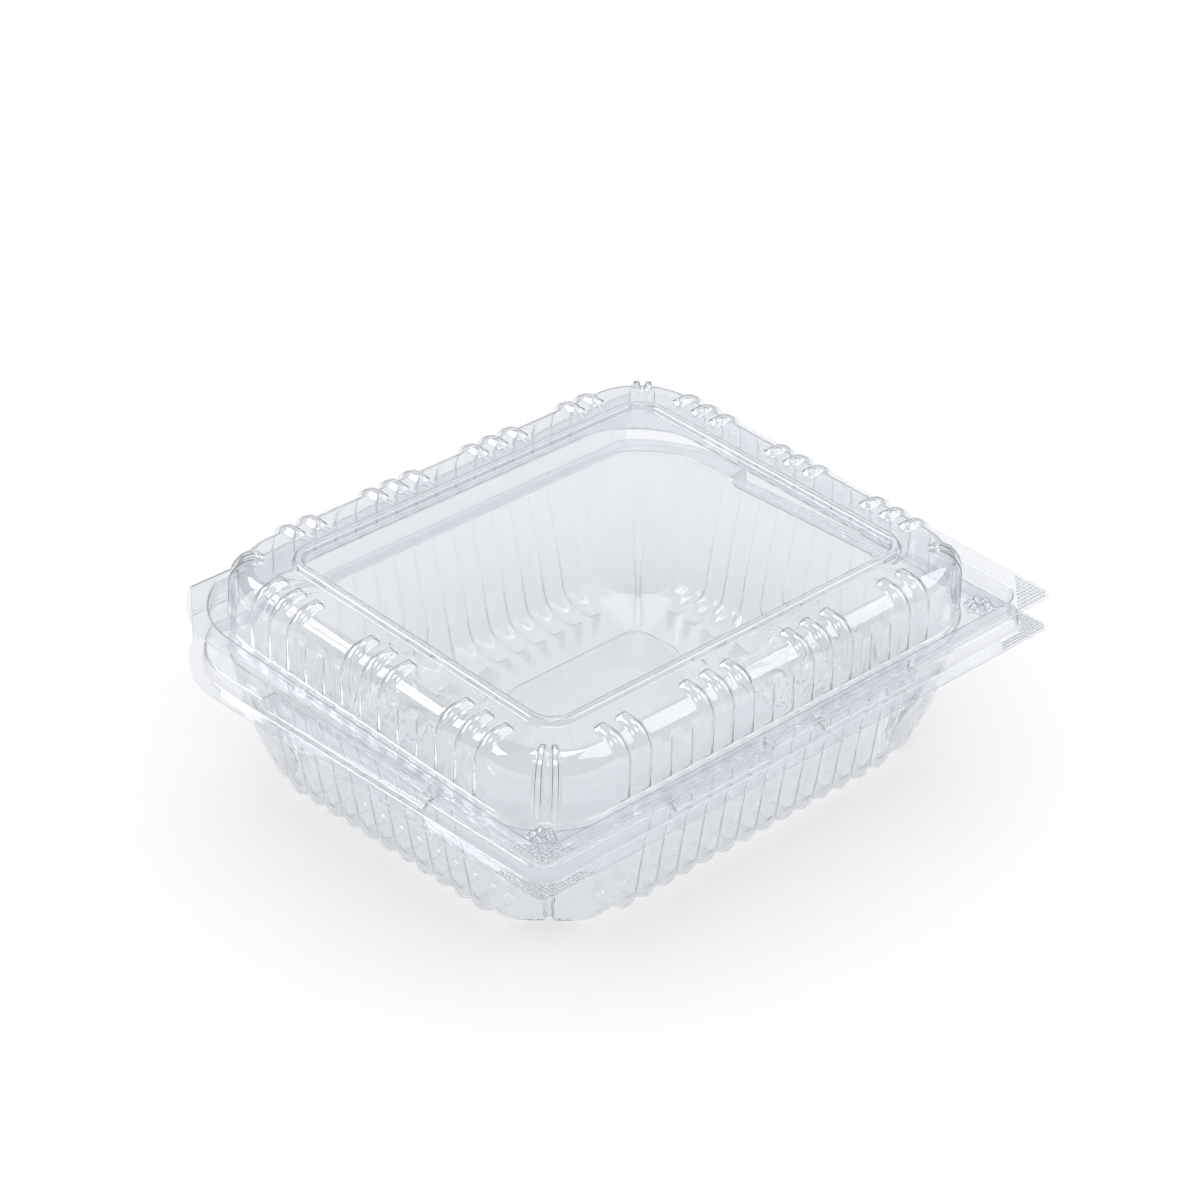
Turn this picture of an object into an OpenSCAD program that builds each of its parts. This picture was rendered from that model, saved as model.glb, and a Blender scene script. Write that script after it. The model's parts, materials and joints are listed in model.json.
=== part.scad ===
// Clear hinged clamshell pack: a fluted tray and a domed lid formed from one thin sheet, joined along the back

/* [Rim] */
// Length of both flanges along the opening side
pack_l = 198; // [194:1:204]
// Front flange edge ahead of the middle
front_reach = 84.5; // [83:0.5:87]
// Hinge line behind the middle
hinge_reach = 77; // [76.5:0.5:78]
// How far the hinge line cuts into the rounding of the corners beside it
hinge_off = 7.5; // [7:0.25:8]
// Plan radius of the flange corners beside the hinge
corner_r = 35.5; // [35:0.25:36]
// Plan radius of the finger tab corners at the front
tab_r = 3; // [2:0.5:4]
// Width of the lid flange
lid_flange_w = 6; // [5.75:0.25:6.5]
// Width of the tray flange
tray_flange_w = 4.5; // [4:0.25:5]
// Plan radius of the rim step at the front corners
step_r = 7; // [6:0.5:9]
// Sheet thickness
sheet = 0.5; // [0.45:0.05:0.55]

/* [Hinge] */
// Height of the lid half of the folded strap
strap_h = 9.3; // [9:0.1:10]
// How far the closed lid leans down from the hinge to the front
lid_lean = 2.8; // [2.5:0.1:2.8]
// Gap left along the crease between the two halves of the strap
crease_gap = 0.8; // [0.7:0.1:1]

// Gap between the closed lid's ledge and the tray land at the front
seat_gap = 0.4; // [0.35:0.05:0.6]

/* [Tray] */
// Height of the tray flange above the table
tray_h = 37.5; // [34:0.5:42]
// Height of the tray land above its flange
land_h = 4.6; // [4:0.1:4.7]
// Plan distance of the tray mouth inside the flange edge
mouth_off = 11.2; // [10.9:0.1:11.7]
// Plan distance of the floor edge inside the flange edge
floor_off = 27; // [26:0.25:28]
// Bend radius between the tray wall and the floor
floor_r = 8; // [7:0.5:9]
// Width of the channel round the raised floor panel
channel_w = 20; // [17:0.5:22]
// Height of the raised floor panel
panel_h = 2.6; // [2:0.2:4]
// Plan radius of the raised floor panel
panel_r = 6; // [4:0.5:9]
// How far the plain corners of the tray run along its sides
corner_run = 7; // [6:0.25:7.5]
// Plan distance of a corner facet at the floor inside the flange corner
facet_off = 29.5; // [28:0.25:30.5]
// Lean of a corner facet
facet_lean = 33; // [30:1:36]
// Depth of the groove down the middle of a corner facet
groove_d = 1.4; // [1:0.1:1.6]

/* [Lid] */
// Drop of the lid ledge below its flange
lid_step = 6; // [5.9:0.1:6]
// Plan distance of the dome foot inside the flange edge
dome_off = 13; // [12.7:0.1:13.5]
// Height of the dome shoulder above the ledge
dome_h = 19.2; // [18:0.4:22]
// Bend radius of the dome shoulder
shoulder_r = 6.5; // [5.5:0.25:7]
// Plan distance of the top bead inside the flange edge
bead_off = 30.3; // [29.9:0.1:30.7]
// Plan radius of the top bead at its corners
bead_bend = 8; // [7:0.5:10]
// Radius of the top bead section
bead_r = 1.6; // [1.3:0.1:1.7]
// Radius of the button on each front ledge corner
button_r = 3.4; // [2.8:0.1:3.8]
// Height of the button
button_h = 1.2; // [1:0.1:1.6]

/* [Flutes] */
// Spacing of the flutes on the lid and the tray
flute_pitch = 7.7; // [7.5:0.05:7.75]
// Foot width of a lid flute
lid_flute_w = 4.4; // [4:0.1:4.6]
// Crown width of a lid flute
lid_flute_top = 2; // [1.8:0.1:2.4]
// Height of a lid flute
lid_flute_out = 1.4; // [1.2:0.1:1.5]
// Length of the grouped lid flutes on the flat shoulder
flute_run = 3.6; // [3:0.2:4]
// Foot width of a tray flute
tray_flute_w = 5.4; // [5:0.1:5.6]
// Crown width of a tray flute
tray_flute_top = 3; // [2.6:0.1:3.2]
// Height of a tray flute
tray_flute_out = 1.2; // [1.1:0.05:1.3]
// Height of the twin ribs on the rounded corners of the dome
corner_flute_out = 1; // [0.8:0.1:1.1]

/* [Snap lugs] */
// Length of each of the two front lugs
front_lug_l = 36; // [32:1:38]
// Middle of each front lug from the middle of the pack
front_lug_mid = 28.5; // [27:0.5:30]
// Length of the lug on each short side
side_lug_l = 67; // [60:1:70]
// Width of a lug
lug_w = 3.4; // [3:0.1:3.5]
// Drop of a lug below the lid ledge
lug_drop = 2.6; // [2.2:0.1:2.6]
// Room round a lug in its tray notch
lug_room = 0.5; // [0.45:0.05:0.6]

/* [Finger tabs] */
// Spacing of the grip studs
stud_pitch = 1.8; // [1.6:0.1:2]
// Width of a grip stud
stud_w = 0.9; // [0.8:0.1:1]
// Height of a grip stud
stud_h = 0.35; // [0.3:0.05:0.5]

/* [Hidden] */
// Reach of cutting shapes beyond what they cut
overrun = 1;
// Fineness of the round shapes
$fn = 48;
// Flutes from the start of one group to the start of the next
flute_cycle = 5;
// Plan offsets from the corner centres, worked out from the flange edge
hinge_plan = corner_r - hinge_off;
mouth_plan = corner_r - mouth_off;
floor_plan = corner_r - floor_off;
facet_plan = corner_r - facet_off;
dome_plan = corner_r - dome_off;
bead_plan = corner_r - bead_off;
// Corner centres shared by every rounded outline
core_x = pack_l / 2 - corner_r;
core_y = (front_reach + hinge_reach - corner_r - hinge_plan) / 2;
front_edge = core_y + corner_r;
hinge_edge = core_y + hinge_plan;
// Levels of the tray
land_z = tray_h + land_h;
// Levels of the lid, measured from its flange
ledge_z = -lid_step;
bend_z = ledge_z + dome_h - shoulder_r;
shoulder_z = ledge_z + dome_h;
// Back edge of the rim step beside the hinge
step_gap_share = 0.33;
back_wall = hinge_edge - lid_flange_w * step_gap_share;
// Crease line, just outside the strap so that the halves fold back to back
crease_y = hinge_edge + crease_gap / 2;
// Crease height at which the leaning lid comes to rest over the land
lid_fall = (front_edge - lid_flange_w + crease_y) * sin(lid_lean);
crease_z = land_z + seat_gap + lid_fall - (strap_h - lid_step) * cos(lid_lean);
// Reach of the leaning lid's front edge, and the shift that puts the whole pack's middle on the origin
lid_front = (front_edge + crease_y) * cos(lid_lean) + strap_h * sin(lid_lean) - crease_y;
mid_shift = (lid_front - hinge_edge) / 2;
// Notch floor below the land
notch_drop = lug_drop + lug_room / 2;
// The tray wall is a tangent from the mouth to the floor bend
wall_run = mouth_plan - floor_plan;
wall_rise = land_z - floor_r;
wall_reach = sqrt(wall_run * wall_run + wall_rise * wall_rise);
wall_lean = acos(floor_r / wall_reach) - atan2(wall_rise, wall_run);
// Top of the tray wall, inside the thickness of the land
top_z = land_z - sheet / 2;
// Rows down the tray wall, and steps of the floor bend below them
wall_shares = [0, 0.5, 0.6, 0.82];
bend_steps = 5;
// How far a tray flute stands out at each row, where it swells on the bend and dies out at the floor
swell_shares = [1, 1, 1, 1, 1, 1.2, 1.3, 1, 0.4, 0];
// How deep the corner groove is at each row
groove_shares = [0, 0, 1, 1, 1, 1, 1, 1, 1, 1];
// Turns of the corner points, and of the two in the groove
corner_turns = [9, 18, 26, 33, 38, 41.5, 48.5, 52, 57, 64, 72, 81];
groove_turn = 4;
// Twin ribs of a dome corner: start angles, width of a rib and its share of a flute's run on the shoulder
twin_starts = [38.25, 46.75];
twin_w = 5;
twin_run_share = 0.5;

// Number of flutes that a side has room for, and which of them carry on over the shoulder
function flute_count(half) = floor((2 * half + flute_pitch - tray_flute_w) / flute_pitch);
function carries(j, n) =
  let (m = abs(abs(j) % flute_cycle - flute_cycle / 2)) n % 2 == 1 ? m > 1 : m < 1.5;

// Places of the flutes along a side, all of them or only those that carry on
function flutes(half, all) =
  let (n = flute_count(half)) [
    for (i = [0 : n - 1])
      let (j = i - (n - 1) / 2)
      if (all || carries(j, n)) j * flute_pitch
  ];

// Widths of the inner face of a flute, so that its sides keep the sheet thickness
function flank(w, top, out) = (w - top) / 2 / out;
function inside(w, top, out) =
  sheet * flank(w, top, out) - sheet * sqrt(flank(w, top, out) * flank(w, top, out) + 1);

// Fluted sheet section as places along the side and heights above the face
function upper_face(places, w, top, out) = [
  for (c = places)
    each [[c - w / 2, 0], [c - top / 2, out], [c + top / 2, out], [c + w / 2, 0]]
];
function lower_face(places, w, top, out) = let (k = inside(w, top, out)) [
  for (i = [len(places) - 1 : -1 : 0])
    let (c = places[i])
    each [
      [c + w / 2 + k, -sheet],
      [c + top / 2 + k, out - sheet],
      [c - top / 2 - k, out - sheet],
      [c - w / 2 - k, -sheet]
    ]
];
function fluted(half, places, w, top, out) = concat(
  [[-half, 0]], upper_face(places, w, top, out), [[half, 0]],
  [[half, -sheet]], lower_face(places, w, top, out), [[-half, -sheet]]
);

// Rounded rectangle given by half sizes
module rounded(x, y, r) {
  square([2 * x, 2 * (y - r)], center = true);
  square([2 * (x - r), 2 * y], center = true);
  for (sx = [-1, 1], sy = [-1, 1])
    translate([sx * (x - r), sy * (y - r)])
      circle(r = r);
}

// Outline of the rim: small front corners, large corners beside a straight hinge edge
module rim(inset, front_r, back) {
  half = pack_l / 2 - inset;
  front = front_edge - inset;
  intersection() {
    union() {
      translate([-half, front_r - front])
        square([2 * half, front - front_r + core_y]);
      translate([front_r - half, -front])
        square([2 * (half - front_r), front]);
      for (s = [-1, 1])
        translate([s * (half - front_r), front_r - front])
          circle(r = front_r);
      for (s = [-1, 1])
        translate([s * core_x, core_y])
          circle(r = corner_r - inset);
      translate([-core_x, 0])
        square([2 * core_x, core_y + corner_r - inset]);
    }
    translate([-half - overrun, -front - overrun])
      square([2 * (half + overrun), front + overrun + back]);
  }
}

// Each side in turn, set on its line through the corner centres with outward towards the viewer
module on_side(k) {
  rotate([0, 0, 90 * k])
    translate([0, k % 2 == 0 ? -core_y : -core_x, 0])
      children();
}

// Each corner in turn, set on its corner centre
module on_corner(k) {
  sx = k == 0 || k == 3 ? 1 : -1;
  sy = k < 2 ? 1 : -1;
  translate([sx * core_x, sy * core_y, 0])
    rotate([0, 0, 90 * k])
      children();
}

// Turn of a section about a line along the side, from one angle below the level to another
module bend(from, to) {
  rotate([90, 0, -90])
    rotate([0, 0, from])
      rotate_extrude(angle = to - from)
        children();
}

// Upright panel of a fluted section standing on the face distance from the side line
module panel(off, height, section) {
  linear_extrude(height = height)
    polygon([for (p = section) [p[0], -off - p[1]]]);
}

// Section laid for turning, with its face at the bend radius
module turned(r, section) {
  polygon([for (p = section) [r + p[1], p[0]]]);
}

// End plates that close the flutes at a place where they stop
module stops(off, places, w, top, out) {
  for (c = places)
    polygon([
      [c - w / 2, sheet / 2 - off], [c - w / 2, -off],
      [c - top / 2, -off - out], [c + top / 2, -off - out],
      [c + w / 2, -off], [c + w / 2, sheet / 2 - off]
    ]);
}

// Places of the snap lugs: side, middle along it and length
function lugs() = [
  [0, -front_lug_mid, front_lug_l],
  [0, front_lug_mid, front_lug_l],
  [1, 0, side_lug_l],
  [3, 0, side_lug_l]
];

// Grip studs on the two finger tabs of a flange
module studs(z) {
  for (s = [-1, 1])
    translate([s * (pack_l / 2 - tab_r), tab_r - front_edge, z])
      linear_extrude(height = stud_h)
        for (i = [-1 : 4], j = [-1 : 4])
          if (i + j < 5 && (i > -1 || j > 0) && (j > -1 || i > 0))
            translate([-s * i * stud_pitch, j * stud_pitch])
              square([stud_w, stud_w], center = true);
}

// Folded strap along the hinge, between two levels
module strap(low, high) {
  end = core_x + sqrt(corner_r * corner_r - hinge_plan * hinge_plan);
  translate([-end, hinge_edge - sheet, low])
    cube([2 * end, sheet, high - low]);
}

// Stations down the tray wall and floor bend, set off outward by a height
function tray_top(g) = [
  floor_plan + (floor_r + g + (top_z - floor_r) * sin(wall_lean)) / cos(wall_lean),
  top_z
];
function tray_point(g, a) = [
  floor_plan + (floor_r + g) * cos(a),
  floor_r - (floor_r + g) * sin(a)
];
function tray_station(g, i) =
  let (n = len(wall_shares))
  i < n
    ? tray_top(g) * (1 - wall_shares[i]) + tray_point(g, wall_lean) * wall_shares[i]
    : tray_point(g, wall_lean + (90 - wall_lean) * (i - n) / bend_steps);

// Rows of a fluted side as places along it and heights, with the flutes swollen by a share
function backward(list) = [for (i = [len(list) - 1 : -1 : 0]) list[i]];
function swollen(row, base, share) = [for (p = row) [p[0], base + (p[1] - base) * share]];
function tray_crowns(half) = upper_face(flutes(half, true), tray_flute_w, tray_flute_top, tray_flute_out);
function tray_hollows(half) =
  backward(lower_face(flutes(half, true), tray_flute_w, tray_flute_top, tray_flute_out));
function side_row(half, g, i) = concat(
  [[-half, g]], swollen(g < 0 ? tray_hollows(half) : tray_crowns(half), g, swell_shares[i]), [[half, g]]
);

// Reach from a point inside a corner to its rounded outline, and to the leaning facet that cuts it off
function round_reach(d, a) =
  let (u = max(cos(a), sin(a)), v = min(cos(a), sin(a)))
  let (far = (corner_run + d) / u, k = (u + v) * corner_run)
  far * v < corner_run ? far : k + sqrt(k * k - 2 * corner_run * corner_run + d * d);
function facet_reach(g, z, a) =
  (facet_plan + corner_run * sqrt(2) + z * tan(facet_lean) + g / cos(facet_lean)) / cos(a - 45);
function groove(i, a) = abs(a - 45) < groove_turn ? groove_d * groove_shares[i] : 0;
function corner_reach(g, i, a) =
  let (p = tray_station(g, i)) min(round_reach(p[0], a), facet_reach(g, p[1], a)) - groove(i, a);

// Points of one row round the whole tray, set off outward by a height
function quarter(k, x, y) = k == 0 ? [x, y] : k == 1 ? [-y, x] : k == 2 ? [-x, -y] : [y, -x];
function side_core(k) = k % 2 == 0 ? [core_x, core_y] : [core_y, core_x];
function side_points(k, g, i) = [
  for (p = side_row(side_core(k)[0] - corner_run, g, i))
    let (c = tray_station(p[1], i))
    concat(quarter(k, p[0], -side_core(k)[1] - c[0]), c[1])
];
function corner_points(k, g, i) = [
  for (a = corner_turns)
    let (r = corner_reach(g, i, a))
    let (x = side_core(k)[0] - corner_run + r * sin(a))
    let (y = corner_run - side_core(k)[1] - r * cos(a))
    concat(quarter(k, x, y), tray_station(g, i)[1])
];
function ring(g, i) = [
  for (k = [0 : 3])
    each concat(side_points(k, g, i), corner_points(k, g, i))
];
function corners(a, b, c, d) = [[a, b, c], [a, c, d]];

// Tray wall swept as one sheet: fluted sides, faceted corners and the floor bend
module tray_wall() {
  last = len(wall_shares) + bend_steps;
  n = len(ring(0, 0));
  points = [
    for (i = [0 : last])
      each concat(ring(0, i), ring(-sheet, i))
  ];
  function at(i, face, j) = (2 * i + face) * n + j % n;
  skin = [
    for (i = [0 : last - 1], j = [0 : n - 1])
      each concat(
        corners(at(i, 0, j), at(i, 0, j + 1), at(i + 1, 0, j + 1), at(i + 1, 0, j)),
        corners(at(i, 1, j + 1), at(i, 1, j), at(i + 1, 1, j), at(i + 1, 1, j + 1))
      )
  ];
  edges = [
    for (j = [0 : n - 1])
      each concat(
        corners(at(0, 1, j), at(0, 1, j + 1), at(0, 0, j + 1), at(0, 0, j)),
        corners(at(last, 0, j), at(last, 0, j + 1), at(last, 1, j + 1), at(last, 1, j))
      )
  ];
  polyhedron(points = points, faces = concat(skin, edges));
}

// Cutting shape and notch for one lug in the tray land
module notch_room(lug, room) {
  k = lug[0];
  outer = corner_r - tray_flange_w;
  inner = corner_r - lid_flange_w - lug_w - lug_room - room;
  half = lug[2] / 2 + lug_room + room;
  on_side(k)
    translate([lug[1] - half, -outer - overrun, land_z - notch_drop - room])
      cube([2 * half, outer - inner + overrun, notch_drop + room + overrun]);
}

module notch_tray(lug) {
  k = lug[0];
  outer = corner_r - tray_flange_w;
  inner = corner_r - lid_flange_w - lug_w - lug_room - sheet;
  half = lug[2] / 2 + lug_room + sheet;
  difference() {
    on_side(k)
      translate([lug[1] - half, -outer, land_z - notch_drop - sheet])
        cube([2 * half, outer - inner, notch_drop + sheet]);
    notch_room(lug, 0);
  }
}

// Rim of the tray: flange, upstand and land with its lug notches
module tray_rim() {
  translate([0, 0, tray_h - sheet])
    linear_extrude(height = sheet)
      difference() {
        rim(0, tab_r, hinge_edge);
        rim(tray_flange_w + sheet, step_r - sheet, back_wall - sheet);
      }
  difference() {
    union() {
      translate([0, 0, tray_h - sheet])
        linear_extrude(height = land_h + sheet)
          difference() {
            rim(tray_flange_w, step_r, back_wall);
            rim(tray_flange_w + sheet, step_r - sheet, back_wall - sheet);
          }
      translate([0, 0, land_z - sheet])
        linear_extrude(height = sheet)
          difference() {
            rim(tray_flange_w, step_r, back_wall);
            rounded(core_x + mouth_plan - 2 * sheet, core_y + mouth_plan - 2 * sheet, mouth_plan - 2 * sheet);
          }
    }
    for (lug = lugs())
      notch_room(lug, 0);
  }
  for (lug = lugs())
    notch_tray(lug);
  studs(tray_h);
}

// Floor with its channel and raised panel
module tray_floor() {
  edge_x = core_x + floor_plan - channel_w;
  edge_y = core_y + floor_plan - channel_w;
  linear_extrude(height = sheet)
    difference() {
      polygon([for (p = ring(0, len(wall_shares) + bend_steps)) [p[0], p[1]]]);
      rounded(edge_x - sheet, edge_y - sheet, panel_r - sheet);
    }
  linear_extrude(height = panel_h)
    difference() {
      rounded(edge_x, edge_y, panel_r);
      rounded(edge_x - sheet, edge_y - sheet, panel_r - sheet);
    }
  translate([0, 0, panel_h - sheet])
    linear_extrude(height = sheet)
      rounded(edge_x, edge_y, panel_r);
}

module base_tray() {
  color([0.86, 0.90, 0.92, 0.4])
    translate([0, mid_shift, 0]) {
      tray_rim();
      tray_floor();
      tray_wall();
      strap(tray_h - sheet, crease_z - crease_gap / 2);
    }
}

// Section of the dome: wall, shoulder bend and a lap on the flat shoulder, set off outward from a foot level
module dome_section(g, thick, foot, run) {
  translate([dome_plan + g - thick, ledge_z + foot])
    square([thick, dome_h - shoulder_r - foot]);
  intersection() {
    translate([dome_plan - shoulder_r, bend_z])
      difference() {
        circle(r = shoulder_r + g);
        circle(r = shoulder_r + g - thick);
      }
    translate([dome_plan - shoulder_r, bend_z])
      square([shoulder_r + g + overrun, shoulder_r + g + overrun]);
  }
  translate([dome_plan - shoulder_r - run, shoulder_z + g - thick])
    square([run, thick]);
}

// Rounded dome corner with its twin ribs
module dome_corner() {
  rotate_extrude(angle = 90)
    dome_section(0, sheet, 0, flute_run);
  for (a = twin_starts)
    rotate([0, 0, a])
      rotate_extrude(angle = twin_w)
        dome_section(corner_flute_out, corner_flute_out + sheet / 2, sheet / 2, flute_run * twin_run_share);
}

// One fluted dome side: wall, shoulder bend, shoulder run and end plates
module dome_side(half) {
  all = flutes(half, true);
  carried = flutes(half, false);
  wall = fluted(half, all, lid_flute_w, lid_flute_top, lid_flute_out);
  crest = fluted(half, carried, lid_flute_w, lid_flute_top, lid_flute_out);
  translate([0, 0, ledge_z])
    panel(dome_plan, dome_h - shoulder_r, wall);
  translate([0, 0, bend_z - sheet])
    linear_extrude(height = sheet)
      stops(dome_plan, all, lid_flute_w, lid_flute_top, lid_flute_out);
  translate([0, shoulder_r - dome_plan, bend_z]) {
    bend(0, 90)
      turned(shoulder_r, crest);
    translate([0, flute_run, 0])
      rotate([90, 0, 0])
        linear_extrude(height = flute_run)
          polygon([for (p = crest) [p[0], shoulder_r + p[1]]]);
    translate([0, flute_run, 0])
      rotate([90, 0, 0])
        mirror([0, 1, 0])
          linear_extrude(height = sheet)
            stops(shoulder_r, carried, lid_flute_w, lid_flute_top, lid_flute_out);
  }
}

// Sweep of a section round the top bead's path
module round_bead() {
  x = core_x + bead_plan;
  y = core_y + bead_plan;
  for (s = [0, 180])
    rotate([0, 0, s]) {
      translate([x - bead_bend, bead_bend - y, shoulder_z])
        rotate([0, 0, -90])
          rotate_extrude(angle = 90)
            translate([bead_bend, 0])
              children();
      translate([x - bead_bend, y - bead_bend, shoulder_z])
        rotate_extrude(angle = 90)
          translate([bead_bend, 0])
            children();
      translate([x, y - bead_bend, shoulder_z])
        rotate([90, 0, 0])
          linear_extrude(height = 2 * (y - bead_bend))
            children();
      translate([bead_bend - x, y, shoulder_z])
        rotate([90, 0, 90])
          linear_extrude(height = 2 * (x - bead_bend))
            children();
    }
}

// Half round bead section on the shoulder
module bead_section() {
  intersection() {
    difference() {
      circle(r = bead_r);
      circle(r = bead_r - sheet);
    }
    translate([-bead_r - overrun, -sheet])
      square([2 * (bead_r + overrun), bead_r + sheet + overrun]);
  }
}

// Flat shoulder round the bead and the top panel inside it
module dome_top() {
  x = core_x + bead_plan;
  y = core_y + bead_plan;
  edge = dome_plan - shoulder_r - sheet;
  lap = bead_r - sheet / 2;
  translate([0, 0, shoulder_z - sheet])
    linear_extrude(height = sheet) {
      difference() {
        rounded(core_x + edge, core_y + edge, edge);
        rounded(x + lap, y + lap, bead_bend + lap);
      }
      rounded(x - lap, y - lap, bead_bend - lap);
    }
  round_bead()
    bead_section();
}

// Rim of the lid: flange, step, ledge and snap lugs
module lid_rim() {
  translate([0, 0, -sheet])
    linear_extrude(height = sheet)
      difference() {
        rim(0, tab_r, hinge_edge);
        rim(lid_flange_w + sheet, step_r - sheet, back_wall - sheet);
      }
  translate([0, 0, ledge_z])
    linear_extrude(height = lid_step)
      difference() {
        rim(lid_flange_w, step_r, back_wall);
        rim(lid_flange_w + sheet, step_r - sheet, back_wall - sheet);
      }
  difference() {
    union() {
      translate([0, 0, ledge_z])
        linear_extrude(height = sheet)
          difference() {
            rim(lid_flange_w, step_r, back_wall);
            rounded(core_x + dome_plan - sheet, core_y + dome_plan - sheet, dome_plan - sheet);
          }
      for (lug = lugs())
        lid_lug(lug, 0, 0);
    }
    for (lug = lugs())
      lid_lug(lug, sheet, sheet + overrun);
  }
  studs(0);
}

// Hollow lug below the ledge, or the room inside it
module lid_lug(lug, skin, up) {
  outer = corner_r - lid_flange_w - skin;
  inner = corner_r - lid_flange_w - lug_w + skin;
  half = lug[2] / 2 - skin;
  on_side(lug[0])
    translate([lug[1] - half, -outer, ledge_z - lug_drop + skin])
      cube([2 * half, outer - inner, lug_drop - skin + max(up, sheet / 2)]);
}

// Petalled button on a front ledge corner
module button() {
  petals = 8;
  petal_share = 0.3;
  linear_extrude(height = button_h) {
    circle(r = button_r * (1 - petal_share));
    for (i = [0 : petals - 1])
      rotate([0, 0, 360 / petals * i])
        translate([button_r * (1 - petal_share), 0])
          circle(r = button_r * petal_share);
  }
}

module lid() {
  place = corner_r - lid_flange_w - button_r - sheet - step_r * step_gap_share;
  color([0.88, 0.92, 0.94, 0.4])
    translate([0, crease_y + mid_shift, crease_z])
      rotate([lid_lean, 0, 0])
        translate([0, -crease_y, strap_h]) {
          lid_rim();
          for (k = [0 : 3]) {
            on_side(k)
              dome_side(k % 2 == 0 ? core_x : core_y);
            on_corner(k)
              dome_corner();
          }
          dome_top();
          for (s = [-1, 1])
            translate([s * (core_x + place), -core_y - place, ledge_z + sheet / 2])
              button();
          strap(crease_gap / 2 - strap_h, 0);
        }
}

base_tray();
lid();
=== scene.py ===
"""Dressed model of a clear hinged clamshell pack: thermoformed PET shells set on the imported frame."""

import json
import logging
import math
from dataclasses import dataclass, field, replace
from enum import Enum
from typing import Sequence

import bmesh
import bpy
from mathutils import Matrix, Vector


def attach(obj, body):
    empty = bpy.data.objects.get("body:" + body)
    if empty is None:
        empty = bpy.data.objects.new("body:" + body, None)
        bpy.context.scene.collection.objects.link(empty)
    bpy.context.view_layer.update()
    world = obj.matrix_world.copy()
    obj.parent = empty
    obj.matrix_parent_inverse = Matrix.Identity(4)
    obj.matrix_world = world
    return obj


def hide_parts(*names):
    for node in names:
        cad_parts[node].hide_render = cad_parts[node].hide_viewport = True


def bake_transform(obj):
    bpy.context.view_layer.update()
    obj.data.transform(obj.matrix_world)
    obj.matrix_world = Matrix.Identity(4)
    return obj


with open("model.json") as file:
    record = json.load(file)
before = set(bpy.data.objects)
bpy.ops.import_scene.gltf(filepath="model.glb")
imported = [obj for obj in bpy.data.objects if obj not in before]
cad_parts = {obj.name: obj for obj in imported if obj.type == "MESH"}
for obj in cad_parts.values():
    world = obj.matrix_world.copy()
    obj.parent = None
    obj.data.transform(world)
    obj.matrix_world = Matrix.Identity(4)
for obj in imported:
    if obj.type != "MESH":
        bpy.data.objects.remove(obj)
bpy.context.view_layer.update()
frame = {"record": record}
MM = 0.001
SHARP = math.radians(50)
STRAIGHT = math.radians(89)

log = logging.getLogger("clamshell")


class Body(str, Enum):
    """Bodies of the frame that the pieces ride on."""

    TRAY = "tray"
    LID = "lid"


class Side(Enum):
    """Sides of the pack in plan, counter-clockwise from the opening side."""

    FRONT = 0
    RIGHT = 1
    BACK = 2
    LEFT = 3


def linear(colour: str) -> tuple[float, float, float, float]:
    """Turn an sRGB hex colour to linear.

    Args:
        colour: six hex digits after a hash sign.

    Returns:
        Linear red, green and blue, and an alpha of one.
    """
    shares = [int(colour[i:i + 2], 16) / 255 for i in (1, 3, 5)]
    values = [s / 12.92 if s <= 0.04045 else ((s + 0.055) / 1.055) ** 2.4 for s in shares]
    return values[0], values[1], values[2], 1.0


def smooth(t: float) -> float:
    """Ease a share from 0 to 1, held at both ends."""
    t = min(1.0, max(0.0, t))
    return t * t * (3 - 2 * t)


def plateau(x: float, half: float, ramp: float) -> float:
    """Height of a smooth plateau.

    Args:
        x: place, measured from its middle.
        half: half of its width at the foot.
        ramp: width of the slope on each side.

    Returns:
        1 on the plateau, 0 outside its foot.
    """
    return smooth((half - abs(x)) / ramp)


@dataclass(frozen=True)
class Ramp:
    """Smooth rise from 0 to 1: where it starts and how far it runs."""

    start: float
    run: float

    def at(self, x: float) -> float:
        """Share reached at a place."""
        return smooth((x - self.start) / self.run)


def add_node(tree: bpy.types.NodeTree, kind: str, settings: dict | None = None,
             links: dict | None = None) -> bpy.types.Node:
    """Add a node to a tree with its settings and links.

    Args:
        tree: node tree that gets the node.
        kind: node type name.
        settings: values by socket name, or by attribute name.
        links: source sockets by input socket name or number.

    Returns:
        The new node.
    """
    node = tree.nodes.new(kind)
    for name, value in (settings or {}).items():
        if name in node.inputs:
            node.inputs[name].default_value = value
        else:
            setattr(node, name, value)
    for name, source in (links or {}).items():
        tree.links.new(source, node.inputs[name])
    return node


def new_material(name: str) -> bpy.types.Material:
    """Make a material with an empty node tree."""
    made = bpy.data.materials.new(name)
    made.use_nodes = True
    made.node_tree.nodes.clear()
    return made


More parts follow.
